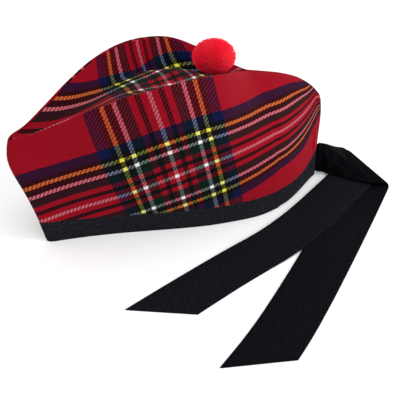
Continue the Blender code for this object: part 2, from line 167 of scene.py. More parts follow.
# Tartan: threads of one half of the pattern, from the white line in its middle out to the red ground
Stripe = namedtuple("Stripe", "colour threads")
PATTERN = (
    Stripe("white", 2), Stripe("red", 5), Stripe("black", 6), Stripe("red", 6), Stripe("green", 9),
    Stripe("white", 5), Stripe("black", 6), Stripe("yellow", 5), Stripe("black", 5), Stripe("navy", 10),
    Stripe("red", 90),
)
THREAD = 0.00085
TWILL_FLOAT = 2.0
TWILL_REPEAT = 2 * TWILL_FLOAT

# Display colours of the yarns
DYES = {
    "red": (134, 14, 30),
    "white": (224, 222, 222),
    "black": (13, 12, 15),
    "green": (10, 30, 24),
    "yellow": (214, 205, 62),
    "navy": (13, 22, 58),
}
DISPLAY_GAMMA = 2.2

# How much of a colour shows through the thread over it, partly yarn mixing and partly painted shade in the
# gaps between threads and at a float's ends; the cloth's tones, grain and relief; and the painted shade
# toward the edges of each round thread
COLUMN_SHOWS_BELOW = 0.5
ROW_SHOWS_BELOW = 0.05
PALE_SHOWS_BELOW = 0.4
FLOAT_END_SHADE = 0.45
BLEND = 0.15
THREAD_EDGE_SHADES = (0.86, 1.04)
HEATHER_SHADES = (0.90, 1.10)
FIBRE_SHADES = (0.90, 1.10)
HEATHER_SCALE = 700.0
FIBRE_SCALE = 4200.0
FIBRE_RELIEF = 0.35
TWILL_DEPTH = 0.00022

# Ribbon: weave is the spacing of its ribs, and the stretch of painted shade, standing in for the shade in the
# folds, lies along its gathered start, longer on the lower tail, where it lies under the upper one, in metres
# The binding's own dark colour, raised a little as painted sheen for the gloss toward its rear
BINDING_COLOUR_WITH_SHEEN = (25, 25, 30)
UPPER_RIBBON_COLOUR = (17, 19, 23)
# The lower tail is the same ribbon as the upper, its colour darker as painted shade
SHADED_LOWER_RIBBON_COLOUR = (12, 14, 17)
GATHER_SHADE_FROM = 0.045
GATHER_SHADE_SHARE = 0.5
UPPER_SHADE_UNTIL = 0.065
LOWER_SHADE_UNTIL = 0.150
BINDING_WEAVE = 0.0011
TAIL_WEAVE = 0.0009
CROSS_WEAVE = 0.6
CROSS_RELIEF = 0.4
MOTTLE_SCALE = 220.0
MOTTLE_SHADES = (0.6, 1.5)
SPECK_SCALE = 650.0
SPECK_SHADES = (-1.6, 3.7)
RIB_DEPTH = 0.00008

# Wool of the pompom, from the foot of a strand to its tip: the feet darker as painted shade, where strands
# crowd
WOOL_ROOT_SHADE = (218, 14, 34)
WOOL_BRIGHT = (255, 30, 64)
WOOL_MOTTLE_SCALE = 260.0
WOOL_MOTTLE_SHADES = (0.7, 1.3)
WOOL_FIBRE_SCALE = 3000.0
WOOL_DEPTH = 0.0001

# Place of the tartan's columns and rows on a panel, in halves of its narrow repeat. The lines run from the
# front of the panel to its rear, evenly spaced, and the values of a line from one edge to the other. The
# values come from a least-squares fit to crossings read on the photograph, and were changed in part.
UNIT = 0.0345
Up = namedtuple("Up", "foot low high ridge")
SIDE_COLUMNS = (
    Up(-3.50, -3.28, -3.18, -3.15), Up(-2.48, -2.25, -2.12, -2.10), Up(-1.42, -1.22, -1.09, -0.95),
    Up(-0.30, -0.16, -0.01, 0.18), Up(0.86, 0.99, 1.14, 1.30), Up(1.95, 2.00, 2.15, 2.25),
    Up(2.85, 2.90, 3.00, 3.10), Up(3.60, 3.65, 3.75, 3.85), Up(4.25, 4.30, 4.40, 4.50),
)
SIDE_ROWS = (
    Up(-0.02, 0.83, 1.56, 2.45), Up(-0.38, 0.60, 1.50, 2.45), Up(-0.72, 0.43, 1.45, 2.42),
    Up(-1.16, 0.09, 1.27, 2.30), Up(-1.55, -0.23, 1.13, 2.24), Up(-1.95, -0.51, 1.02, 2.27),
    Up(-2.42, -0.84, 0.80, 2.03), Up(-2.10, -1.40, 0.05, 1.55), Up(-2.03, -2.20, -1.58, -0.03),
)
Across = namedtuple("Across", "near near_slope middle far_slope far")
CROWN_COLUMNS = (
    Across(-4.00, -4.02, -4.06, -4.15, -4.17), Across(-3.08, -3.10, -3.14, -3.24, -3.27),
    Across(-2.16, -2.17, -2.20, -2.36, -2.38), Across(-1.23, -1.21, -1.29, -1.26, -1.38),
    Across(-0.27, -0.31, -0.40, -0.38, -0.39), Across(0.60, 0.65, 0.57, 0.80, 0.79),
    Across(1.50, 1.50, 1.50, 1.52, 1.70), Across(2.41, 2.38, 2.33, 2.25, 2.15),
)
CROWN_ROWS = (
    Across(-0.02, 0.00, 0.04, 0.08, 0.12), Across(0.00, 0.12, 0.32, 0.52, 0.74),
    Across(-0.33, 0.06, 0.46, 0.96, 1.47), Across(-0.70, -0.18, 0.65, 1.23, 2.20),
    Across(-0.90, -0.08, 0.70, 1.38, 1.90), Across(-0.99, -0.12, 0.46, 1.10, 1.90),
    Across(-0.97, -0.35, 0.30, 0.95, 1.60), Across(-0.60, -0.45, -0.30, -0.15, 0.00),
)

# Soft folds of a side panel: place along and up as shares, reach along and up in shares, height in metres
Fold = namedtuple("Fold", "along up reach_along reach_up height")
SIDE_FOLDS = (
    Fold(0.945, 0.22, 0.010, 0.30, 0.0009),
    Fold(0.915, 0.20, 0.012, 0.26, -0.0008),
    Fold(0.972, 0.30, 0.009, 0.25, -0.0006),
    Fold(0.60, 0.45, 0.080, 0.25, -0.0008),
    Fold(0.36, 0.60, 0.070, 0.25, 0.0006),
)
FADE_ALONG = 0.02
FADE_UP = 0.06

# Crumples of the gather: waves along and across it, the turn at which a wave starts, height in metres
Wave = namedtuple("Wave", "along up start height")
CRUMPLES = (
    Wave(2.6, 1.1, 0.10, 0.0011),
    Wave(1.3, -2.3, 0.45, 0.0010),
    Wave(4.3, -1.6, 0.70, 0.0007),
    Wave(5.2, 3.1, 0.25, 0.0005),
)

# Pompom: reaches as shares of its half widths, and the spread of its random draws. A strand runs out through
# its levels, each with its reach and its share of STRAND_RADIUS, which is in metres.
STRANDS = 5200
STRAND_RADIUS = 0.00028
STRAND_SIDES = 3
STRAND_SEED = 7
CORE_REACH = 0.86
CORE_ROWS = 24
CORE_SIDES = 40
Level = namedtuple("Level", "reach radius")
LEVELS = (Level(0.74, 1.0), Level(0.86, 1.0), Level(0.95, 0.85), Level(1.0, 0.35))
SCATTER = 0.03
REACH_SPREAD = 0.012
LONGEST_REACH = 1.02
SWAY = 0.05
SWAY_GROWTH = 1.5
STRAND_GUIDE = (0.3, 0.5, 0.8)

# Stage
FLOOR_REACH = 3.0
FLOOR_GRAIN_SCALE = 40.0
FLOOR_SHADES = ((0.90, 0.90, 0.90, 1), (0.93, 0.93, 0.93, 1))
WORLD_STRENGTH = 0.95
Light = namedtuple("Light", "name place aim size power")
LIGHTS = (
    Light("key", (-0.3, -0.5, 1.5), (0, 0, 0.05), 0.9, 7),
    Light("fill", (1.0, -0.7, 0.4), (0.1, 0, 0.05), 0.7, 11),
)


# Forms
def spline(values, share):
    """Catmull-Rom curve through evenly spaced values, at shares from 0 to 1."""
    table = np.array(values, dtype=float)
    padded = np.concatenate([2 * table[:1] - table[1:2], table, 2 * table[-1:] - table[-2:-1]])
    place = np.asarray(share, dtype=float) * (len(table) - 1)
    index = np.clip(place.astype(int), 0, len(table) - 2)
    t = place - index
    if table.ndim > 1 and t.ndim > 0:
        t = t[:, None]
    p0, p1, p2, p3 = (padded[index + k] for k in range(4))
    square = (2 * p0 - 5 * p1 + 4 * p2 - p3) * t * t
    cube = (3 * p1 - p0 - 3 * p2 + p3) * t ** 3
    return 0.5 * (2 * p1 + (p2 - p0) * t + square + cube)


def hermite(start, start_pull, end, end_pull, share):
    """Curve from start to end, with a pull at each, at a share from 0 to 1."""
    a = 2 * share ** 3 - 3 * share ** 2 + 1
    b = share ** 3 - 2 * share ** 2 + share
    c = 3 * share ** 2 - 2 * share ** 3
    return start * a + start_pull * b + end * c + end_pull * (share ** 3 - share ** 2)


def steady(values, share):
    """Curve through evenly spaced values, at a share from 0 to 1, that never swings past them."""
    table = np.array(values, dtype=float)
    slopes = np.diff(table, axis=0)
    before, after = slopes[:-1], slopes[1:]
    alike = before * after > 0
    inner = np.where(alike, 2 * before * after / np.where(alike, before + after, 1), 0)
    pulls = np.concatenate([slopes[:1], inner, slopes[-1:]])
    place = min(max(share, 0.0), 1.0) * (len(table) - 1)
    index = min(int(place), len(table) - 2)
    return hermite(table[index], pulls[index], table[index + 1], pulls[index + 1], place - index)


def smooth_rows(rows, steps):
    shares = np.linspace(0, 1, (len(rows) - 1) * steps + 1)
    return [Section(*row) for row in spline(rows, shares)]


def wall_points(section, shares):
    """Points of the near wall's outer face: share 0 at the rim, 1 at the top edge."""
    shares = np.asarray(shares, dtype=float)
    rim_x = section.rim_x * RIM_LENGTH
    rim_y = max(section.rim_y, 0.0) * RIM_WIDTH / 2
    top_y = max(section.top_y, 0.0) * CROWN_WIDTH / 2
    up = (1 - section.arch) * shares + section.arch * np.sin(pi * shares / 2)
    inward = 1 - (1 - section.arch) * (1 - shares) - section.arch * np.cos(pi * shares / 2)
    belly = section.bulge * RIM_WIDTH / 2 * np.sin(pi * shares ** BULGE_SKEW)
    swell = section.swell * PROW_SWELL * np.sin(pi * shares ** SWELL_SKEW)
    x = rim_x - section.lean * PROW_REACH * up - swell
    y = rim_y + (top_y - rim_y) * inward + belly
    return np.stack([x, -y, section.top_z * RIDGE_HEIGHT * up], axis=-1)


def share_at_height(section, height):
    return float(np.interp(height, wall_points(section, FINE_SHARES)[:, 2], FINE_SHARES))


def band_top(section):
    """Height of the binding, which the sewn-on ribbons make taller at the rear seam."""
    share = max((section.rim_x - BAND_RISE_START) / (1 - BAND_RISE_START), 0.0)
    return BAND_HEIGHT + BAND_REAR_RISE * share ** 2


def run_length(points, axis=0):
    """Distance run along a grid of points from its first line."""
    steps = np.linalg.norm(np.diff(points, axis=axis), axis=-1)
    start = np.zeros_like(np.take(steps, [0], axis=axis))
    return np.cumsum(np.concatenate([start, steps], axis=axis), axis=axis)


def places_on(columns, rows, along, across):
    """Place on the tartan in metres: along holds a share for each rib, across one for each of its points."""
    column = [spline(steady(columns, share), line) for share, line in zip(along, across)]
    row = [spline(steady(rows, share), line) for share, line in zip(along, across)]
    return np.stack([column, row], axis=-1) * UNIT


def evened(places, values):
    """Values averaged with their neighbours along a line, less so near its ends."""
    averages = []
    for place in places:
        reach = max(min(EVENING_REACH, place, places[-1] - place), SMALL_REACH)
        weights = np.gradient(places) * np.exp(-((places - place) / reach) ** 2)
        averages.append(np.average(values, weights=weights))
    return np.array(averages)


def side_grid(sections):
    """Near wall from the binding to the ridge, with its place on the tartan."""
    grid, heights = [], []
    for section in sections:
        start = share_at_height(section, band_top(section) + BAND_SEAM)
        shares = np.linspace(start, 1, WALL_ROWS + 1)
        up = np.interp(shares, FINE_SHARES, run_length(wall_points(section, FINE_SHARES)))
        grid.append(wall_points(section, shares))
        heights.append(up - up[0])
    grid, heights = np.array(grid), np.array(heights)
    along = run_length(np.array([wall_points(section, 0.5) for section in sections]))
    across = heights / evened(along, heights[:, -1])[:, None]
    along /= along[-1]
    places = places_on(SIDE_COLUMNS, SIDE_ROWS, along, across)
    up = heights / heights[:, -1:]
    return grid + normals_of(grid) * fold_height(along[:, None], up)[..., None], places


def fold_height(along, up):
    """Height of the soft folds, which fade out at the edges of the panel."""
    height = 0
    for fold in SIDE_FOLDS:
        spread = ((along - fold.along) / fold.reach_along) ** 2 + ((up - fold.up) / fold.reach_up) ** 2
        height = height + fold.height * np.exp(-spread)
    edges = np.minimum(np.minimum(along, 1 - along) / FADE_ALONG, np.minimum(up, 1 - up) / FADE_UP)
    return height * np.clip(edges, 0, 1)


def normals_of(grid, ring=False):
    """Unit normals of a grid of points."""
    if ring:
        along = np.roll(grid, -1, axis=0) - np.roll(grid, 1, axis=0)
    else:
        along = np.gradient(grid, axis=0)
    across = np.gradient(grid, axis=1)
    normal = np.cross(along, across)
    return normal / np.maximum(np.linalg.norm(normal, axis=-1, keepdims=True), TINY)


def slab(name, grid, places, wall, flip=1, ring=False, clip=None):
    """Closed sheet of cloth with rounded edges, on or above the table. The grid is its outer face, flip turns
    that to the other side, and clip keeps the sheet on one side of the middle plane."""
    count, rows = grid.shape[:2]
    normal = normals_of(grid, ring) * flip
    inner = grid - normal * wall
    loop = []
    if ring:
        rims = [[(i, 0) for i in range(count)], [(i, rows - 1) for i in range(count)]]
    else:
        loop = [(i, 0) for i in range(count)] + [(count - 1, j) for j in range(1, rows)]
        loop += [(i, rows - 1) for i in range(count - 2, -1, -1)] + [(0, j) for j in range(rows - 2, 0, -1)]
        rims = [loop]
    verts = [grid.reshape(-1, 3), inner.reshape(-1, 3)]
    spots = [places.reshape(-1, 2)] * 2
    size = count * rows
    faces = []
    lines = count if ring else count - 1
    for i in range(lines):
        k = (i + 1) % count
        for j in range(rows - 1):
            quad = (i * rows + j, k * rows + j, k * rows + j + 1, i * rows + j + 1)
            quad = quad if flip > 0 else quad[::-1]
            faces.append(quad)
            faces.append(tuple(size + v for v in quad[::-1]))
    base = 2 * size
    for number, rim in enumerate(rims):
        chain = []
        for i, j in rim:
            away = np.zeros(3)
            if j in (0, rows - 1):
                away += grid[i, j] - grid[i, 1 if j == 0 else rows - 2]
            if not ring and i in (0, count - 1):
                away += grid[i, j] - grid[1 if i == 0 else count - 2, j]
            out = normal[i, j]
            away -= out * away.dot(out)
            away /= max(np.linalg.norm(away), TINY)
            middle = (grid[i, j] + inner[i, j]) / 2
            steps = [pi * step / EDGE_STEPS for step in range(1, EDGE_STEPS)]
            chain.append([middle + wall / 2 * (out * cos(t) + away * sin(t)) for t in steps])
        verts.append(np.array(chain).reshape(-1, 3))
        spots.append(np.repeat(np.array([places[i, j] for i, j in rim]), EDGE_STEPS - 1, axis=0))
        width = EDGE_STEPS - 1
        turn = flip if number == 0 else -flip
        for a in range(len(rim)):
            b = (a + 1) % len(rim)
            low = [rim[a][0] * rows + rim[a][1]] + [base + a * width + s for s in range(width)]
            high = [rim[b][0] * rows + rim[b][1]] + [base + b * width + s for s in range(width)]
            low.append(size + low[0])
            high.append(size + high[0])
            for s in range(width + 1):
                quad = (low[s], low[s + 1], high[s + 1], high[s])
                faces.append(quad if turn > 0 else quad[::-1])
        base += len(rim) * width
    verts = np.concatenate(verts)
    verts[:, 2] = np.maximum(verts[:, 2], 0)
    if clip is not None:
        verts[:, 1] = np.maximum(verts[:, 1] * clip, BODY_GAP / 2) * clip
    return mesh_object(name, verts, faces, np.concatenate(spots))


def mesh_object(name, verts, faces, places=None):
    mesh = bpy.data.meshes.new(name)
    mesh.from_pydata([tuple(v) for v in verts], [], faces)
    if places is not None:
        corners = np.zeros(len(mesh.loops), dtype=np.int32)
        mesh.loops.foreach_get("vertex_index", corners)
        layer = mesh.uv_layers.new(name="cloth")
        layer.data.foreach_set("uv", np.asarray(places, dtype=np.float32)[corners].ravel())
    mesh.shade_smooth()
    mesh.validate()
    obj = bpy.data.objects.new(name, mesh)
    bpy.context.scene.collection.objects.link(obj)
    return obj


def mirrored(grid):
    return grid * np.array([1, -1, 1])


def band_grid(sections):
    """Outer face of the binding all the way round, with the distance round and up as its place."""
    half = []
    for section in sections:
        heights = np.linspace(BAND_HEM, band_top(section), BAND_ROWS)
        fine = wall_points(section, FINE_SHARES)
        foot = wall_points(section, 0.0)
        line = [foot * (1, 1, 0)] + [np.array([np.interp(h, fine[:, 2], fine[:, k]) for k in range(3)])
                                     for h in heights]
        line[1][:2] = foot[:2]
        half.append(line)
    near = np.array(half)
    ring = np.concatenate([near, mirrored(near[-2:0:-1])])
    round_it = run_length(ring[:, :1])
    up = run_length(ring, axis=1)
    return ring, np.stack([np.repeat(round_it, ring.shape[1], axis=1), up], axis=-1)


def crown_seat(section, slope):
    """Room from the wall's outer face to the crown's edge, where the crown meets it at a slope."""
    top, below = wall_points(section, 1.0), wall_points(section, 1 - SMALL_STEP)
    lean = max((below[1] - top[1]) / (top[2] - below[2]), 0.0)
    slope = max(slope, 0.0)
    wall = CLOTH_WALL * sqrt(1 + lean * lean)
    return wall + BODY_GAP * (1 + slope) + CLOTH_WALL * (slope + lean) / sqrt(1 + slope * slope)


def crown_lines(sections):
    """Lines across the crown: near edge, far edge, dip, place of the valley's bottom and ripple."""
    tops = np.array([wall_points(section, 1.0) for section in sections])
    lines = []
    for section, before, top, after in zip(sections[1:], tops, tops[1:], tops[2:]):
        dip, ripple = section.dip * CROWN_DIP, section.ripple * CROWN_RIPPLE
        half = max(-top[1], CROWN_TIP)
        near_slope = (dip * CROWN_CURVE + 2 * pi * ripple) / (half * (1 + section.fold))
        far_slope = dip * CROWN_CURVE / (half * (1 - section.fold))
        along = (after - before)[:2]
        inward = np.array([-along[1], along[0], 0]) / np.linalg.norm(along)
        near = top + inward * crown_seat(section, near_slope)
        far = (top + inward * crown_seat(section, far_slope)) * (1, -1, 1)
        lines.append(np.concatenate([near, far, (dip, section.fold, ripple)]))
    kept = []
    for one, two in zip(lines, lines[1:]):
        half, next_half = min(-one[1], one[4]), min(-two[1], two[4])
        if half > CROWN_TIP:
            kept.append(one)
        if (half > CROWN_TIP) != (next_half > CROWN_TIP):
            kept.append(one + (two - one) * (CROWN_TIP - half) / (next_half - half))
    return np.array(kept)


def crown_grid(lines):
    """Crown from the near ridge to the far one, with its place on the tartan."""
    near, far = lines[:, None, :3], lines[:, None, 3:6]
    dip, fold, ripple = (lines[:, k:k + 1] for k in (6, 7, 8))
    bottom = (1 + fold) / 2
    down = np.linspace(1, 0, CROWN_NEAR_ROWS, endpoint=False)[None]
    climb = np.linspace(0, 1, CROWN_FAR_ROWS + 1)[None]
    share = np.concatenate([bottom * (1 - down), bottom + (1 - bottom) * climb], axis=1)
    near_drop = dip * (1 - down ** CROWN_CURVE) - ripple * np.sin(2 * pi * down)
    drop = np.concatenate([near_drop, dip * (1 - climb ** CROWN_CURVE)], axis=1)
    grid = near + (far - near) * share[..., None]
    grid[..., 2] -= drop
    across = run_length(grid, axis=1)
    along = (lines[:, 0] - lines[0, 0]) / (lines[-1, 0] - lines[0, 0])
    return grid, places_on(CROWN_COLUMNS, CROWN_ROWS, along, across / across[:, -1:])


# Ribbon tails
class Tail:
    """One ribbon tail: its centre line on the surface, its edges, and its fold behind the rear seam."""

    def __init__(self, bends, crease, layer):
        self.lift = layer * LAYER
        self.bends = bends
        first = radians(bends[0].heading)
        self.start = Vector((cos(first), sin(first), 0))
        self.slope = self.start.y / abs(self.start.x)
        middle = crease * TAIL_WIDTH
        self.origin = Vector((CREASE_X - fold_radius(middle), middle, 0))
        self.lying = self.lying_part()
        self.fold = self.fold_part()

    def heading(self, station):
        shares = [bend.share for bend in self.bends]
        return radians(np.interp(station / TAIL_LENGTH, shares, [bend.heading for bend in self.bends]))

    def centre(self, station):
        if station <= 0:
            return self.origin + self.start * station
        point = self.origin.copy()
        step = station / PATH_STEPS
        for index in range(PATH_STEPS):
            angle = self.heading((index + 0.5) * step)
            point += Vector((cos(angle), sin(angle), 0)) * step
        return point

    def edge(self, station, toward):
        angle = self.heading(max(station, 0.0))
        across = Vector((-sin(angle), cos(angle), 0))
        return self.centre(station) + across * toward * TAIL_WIDTH / 2

    def first_station(self, toward):
        across = Vector((-self.start.y, self.start.x, 0)) * toward * TAIL_WIDTH / 2
        corner = self.origin + across
        short = CREASE_X - fold_radius(corner.y) - corner.x
        return short / (self.start.x + FOLD_CONE * self.start.y)

    def lying_part(self):
        far_start, near_start = self.first_station(-1), self.first_station(1)
        far_end, near_end = TAIL_LENGTH + TAIL_CUT / 2, TAIL_LENGTH - TAIL_CUT / 2
        ribs = []
        for step in range(TAIL_STEPS + 1):
            share = step / TAIL_STEPS
            far = self.edge(far_start + (far_end - far_start) * share, -1)
            near = self.edge(near_start + (near_end - near_start) * share, 1)
            far.z = near.z = TAIL_WALL / 2 + self.lift * settle(share)
            ribs.append([far.lerp(near, row / TAIL_ROWS) for row in range(TAIL_ROWS + 1)])
        return ribs

    def roll(self, foot, turn):
        y = foot.y - self.slope * (fold_radius(foot.y) - self.lift) * (pi - turn)
        radius = fold_radius(y)
        inner = radius - self.lift
        x = CREASE_X - radius + inner * sin(turn)
        return Vector((x, y, TAIL_WALL / 2 + radius + inner * cos(turn)))

    def fold_part(self):
        feet = self.lying[0]
        return [[self.roll(foot, pi * step / FOLD_STEPS) for foot in feet] for step in range(FOLD_STEPS)]


def fold_radius(y):
    return FOLD_RADIUS_NEAR + FOLD_CONE * (y + FOLD_LENGTH)


def settle(share):
    return 1 - min(max((share - SETTLE_START) / SETTLE_SPAN, 0.0), 1.0)


def gather_point(outer, share, across):
    """Point of the gather: share 0 at the seam, 1 at the fold; across 0 at the foot edge, 1 at the top."""
    far_end, near_end = outer.fold[0][0], outer.fold[0][-1]
    seam_x = RIM_LENGTH + BAND_PROUD + BODY_GAP + TAIL_WALL / 2
    foot = Vector((seam_x, 0, GATHER_FOOT))
    head = Vector((seam_x, 0, GATHER_FOOT + GATHER_HEIGHT))
    away = Vector((FOLD_REACH, 0, 0))
    into = Vector((-outer.start.x, outer.start.y, 0)) * FOLD_REACH
    near = hermite(foot, away * NEAR_PULL, near_end, into * NEAR_PULL, share)
    far = hermite(head, away * FAR_PULL, far_end, into * FAR_PULL, share)
    return near.lerp(far, across)


def pucker(share, across):
    """Height of the gather's puckers and of the crumples that follow them."""
    fade = max(1 - share / PUCKER_SPAN, 0.0)
    height = PUCKER_DEPTH * fade * sin(2 * pi * PUCKER_COUNT * share / PUCKER_SPAN)
    inside = sin(pi * share) * sin(pi * min(max(across, 0.0), 1.0))
    for wave in CRUMPLES:
        height += inside * wave.height * sin(2 * pi * (wave.along * share + wave.up * across + wave.start))
    return height


def gather_part(tail, outer, depth):
    """Ribs of the gather of a tail, set below the outer tail's by a depth along the normal."""
    top = outer.fold[0]
    span = top[0].y - top[-1].y
    own = tail.fold[0]
    ribs = []
    for step in range(GATHER_STEPS):
        share = step / GATHER_STEPS
        rib = []
        for row in range(TAIL_ROWS + 1):
            at_fold = (own[row].y - top[-1].y) / span
            at_seam = 1 - row / TAIL_ROWS
            across = at_seam + (at_fold - at_seam) * share
            point = gather_point(outer, share, across)
            along = gather_point(outer, share + SMALL_STEP, across) - point
            over = gather_point(outer, share, across + SMALL_STEP) - point
            normal = along.cross(over).normalized()
            belly = Vector((0, -GATHER_BELLY, 0)) * sin(pi * share) * (1 - across)
            room = depth * (1 + LAYER_SLACK * (1 - share))
            rib.append(point + belly + normal * (pucker(share, across) - room))
        ribs.append(rib)
    return ribs


def make_tail(name, tail, outer, depth):
    ribs = gather_part(tail, outer, depth) + tail.fold + tail.lying
    ribs = np.array([[tuple(point) for point in rib] for rib in ribs])
    middle = ribs[:, TAIL_ROWS // 2]
    along = run_length(middle)
    across = np.linspace(0, TAIL_WIDTH, TAIL_ROWS + 1)
    places = np.stack(np.meshgrid(along, across, indexing="ij"), axis=-1)
    outer_face = ribs + normals_of(ribs) * TAIL_WALL / 2
    obj = slab(name, outer_face, places, TAIL_WALL)
    return obj, float(along[-1])


# Materials
def linear(rgb):
    """Linear colour of a display colour."""
    parts = [c / 255 for c in rgb]
    return tuple(c / 12.92 if c <= 0.04045 else ((c + 0.055) / 1.055) ** 2.4 for c in parts) + (1.0,)


class Shader:
    """Material with helpers that add nodes."""

    def __init__(self, name, **constants):
        self.material = bpy.data.materials.new(name)
        self.material.use_nodes = True
        self.tree = self.material.node_tree
        self.surface = self.tree.nodes["Principled BSDF"]
        for label, value in constants.items():
            self.surface.inputs[label.replace("_", " ")].default_value = value

    def add(self, kind, values=None, **settings):
        node = self.tree.nodes.new(kind)
        for label, value in settings.items():
            setattr(node, label, value)
        for key, value in (values or {}).items():
            self.put(node.inputs[key], value)
        return node

    def put(self, socket, value):
        if isinstance(value, bpy.types.NodeSocket):
            self.tree.links.new(value, socket)
        else:
            socket.default_value = value

    def math(self, operation, *values):
        return self.add("ShaderNodeMath", dict(enumerate(values)), operation=operation).outputs[0]

    def mix(self, away_from_shade, one, two, blend="MIX"):
        node = self.add("ShaderNodeMix", {0: away_from_shade, 6: one, 7: two}, data_type="RGBA", blend_type=blend)
        return node.outputs[2]

    def noise(self, vector, scale, detail=2.0, roughness=0.5):
        return self.add("ShaderNodeTexNoise", {"Vector": vector, "Scale": scale, "Detail": detail,
                                               "Roughness": roughness}).outputs["Fac"]

    def span(self, value, low, high):
        """A value from 0 to 1 turned into one from low to high."""
        return self.math("MULTIPLY_ADD", value, high - low, low)

    def bump(self, height, distance, strength):
        values = {"Height": height, "Distance": distance, "Strength": strength}
        return self.add("ShaderNodeBump", values).outputs[0]

    def cloth_place(self):
        return self.add("ShaderNodeUVMap", uv_map="cloth").outputs[0]

    def local_place(self):
        return self.add("ShaderNodeTexCoord").outputs["Object"]


def pattern_colour(shader, index):
    """Display colour of the thread with an index."""
    half = sum(stripe.threads for stripe in PATTERN)
    place = shader.math("PINGPONG", shader.math("ADD", index, 0.5), half)
    ramp = shader.add("ShaderNodeValToRGB", {0: shader.math("DIVIDE", place, half)})
    ramp.color_ramp.interpolation = "CONSTANT"
    stops = ramp.color_ramp.elements
    stops.remove(stops[1])
    done = 0
    for stripe in PATTERN:
        stop = stops.new(done / half) if done else stops[0]
        stop.color = [value / 255 for value in DYES[stripe.colour]] + [1.0]
        done += stripe.threads
    return ramp.outputs[0]


def tartan():
    """Twill of two threads over and two under. Each thread takes a little of the colour below it, and lets a
    darker one show through: a column and a pale row the most, and more at the ends of a float. The darker
    show-through is partly the yarns' own mixing and partly painted shade in the gaps between threads and
    where a float dips at its ends; the colour also darkens toward each thread's edges as painted shade."""
    shader = Shader("tartan_wool", Roughness=0.9, Sheen_Weight=0.02, Sheen_Roughness=0.5, IOR=1.4)
    shader.surface.inputs["Specular IOR Level"].default_value = 0.06
    place = shader.cloth_place()
    parts = shader.add("ShaderNodeSeparateXYZ", {0: place}).outputs
    threads = [shader.math("DIVIDE", parts[k], THREAD) for k in range(2)]
    index = [shader.math("FLOOR", value) for value in threads]
    turn = shader.math("FLOORED_MODULO", shader.math("SUBTRACT", index[0], index[1]), TWILL_REPEAT)
    over = shader.math("LESS_THAN", turn, TWILL_FLOAT - 0.5)
    column, row = pattern_colour(shader, index[0]), pattern_colour(shader, index[1])
    top, below = shader.mix(over, row, column), shader.mix(over, column, row)
    pale = shader.add("ShaderNodeSeparateColor", {0: top}).outputs[1]
    row_shows = shader.math("MULTIPLY_ADD", pale, PALE_SHOWS_BELOW, ROW_SHOWS_BELOW)
    shows = shader.add("ShaderNodeMix", {0: over, 2: row_shows, 3: COLUMN_SHOWS_BELOW}).outputs[0]
    parts = [shader.math("FRACT", value) for value in threads]
    row_run = shader.math("ADD", shader.math("SUBTRACT", turn, TWILL_REPEAT - 1), parts[0])
    column_run = shader.math("SUBTRACT", parts[1], turn)
    run = shader.add("ShaderNodeMix", {0: over, 2: row_run, 3: column_run}).outputs[0]
    # Painted shade at the ends of a float, where the thread dips under: more of the darker colour below shows
    # there
    ends = shader.math("MULTIPLY", run, run)
    shows = shader.math("MULTIPLY_ADD", shader.math("MULTIPLY", ends, FLOAT_END_SHADE),
                        shader.math("SUBTRACT", 1.0, shows), shows)
    # The darker colour below showing through is partly the yarns' own mixing and partly painted shade in the
    # gaps between threads
    colour = shader.mix(shows, shader.mix(BLEND, top, below), below, "DARKEN")
    rounds = []
    for part in parts:
        centre = shader.math("SUBTRACT", part, 0.5)
        rounds.append(shader.math("MULTIPLY_ADD", shader.math("MULTIPLY", centre, centre), -4.0, 1.0))
    relief = shader.add("ShaderNodeMix", {0: over, 2: rounds[1], 3: rounds[0]}).outputs[0]
    heather = shader.noise(place, HEATHER_SCALE, 3.0, 0.6)
    fibre = shader.noise(place, FIBRE_SCALE, 2.0, 0.6)
    # Painted shade: each thread's colour darkens toward its edges, where it dips beside its neighbour, by the
    # same round profile that gives the relief
    weave = shader.span(relief, *THREAD_EDGE_SHADES)
    shade = shader.math("MULTIPLY", weave, shader.span(heather, *HEATHER_SHADES))
    shade = shader.math("MULTIPLY", shade, shader.span(fibre, *FIBRE_SHADES))
    shades = shader.add("ShaderNodeCombineXYZ", {0: shade, 1: shade, 2: shade}).outputs[0]
    colour = shader.mix(1.0, colour, shades, "MULTIPLY")
    colour = shader.add("ShaderNodeGamma", {0: colour, 1: DISPLAY_GAMMA}).outputs[0]
    shader.put(shader.surface.inputs["Base Color"], colour)
    height = shader.math("MULTIPLY_ADD", fibre, FIBRE_RELIEF, relief)
    shader.put(shader.surface.inputs["Normal"], shader.bump(height, TWILL_DEPTH, strength=0.7))
    return shader.material


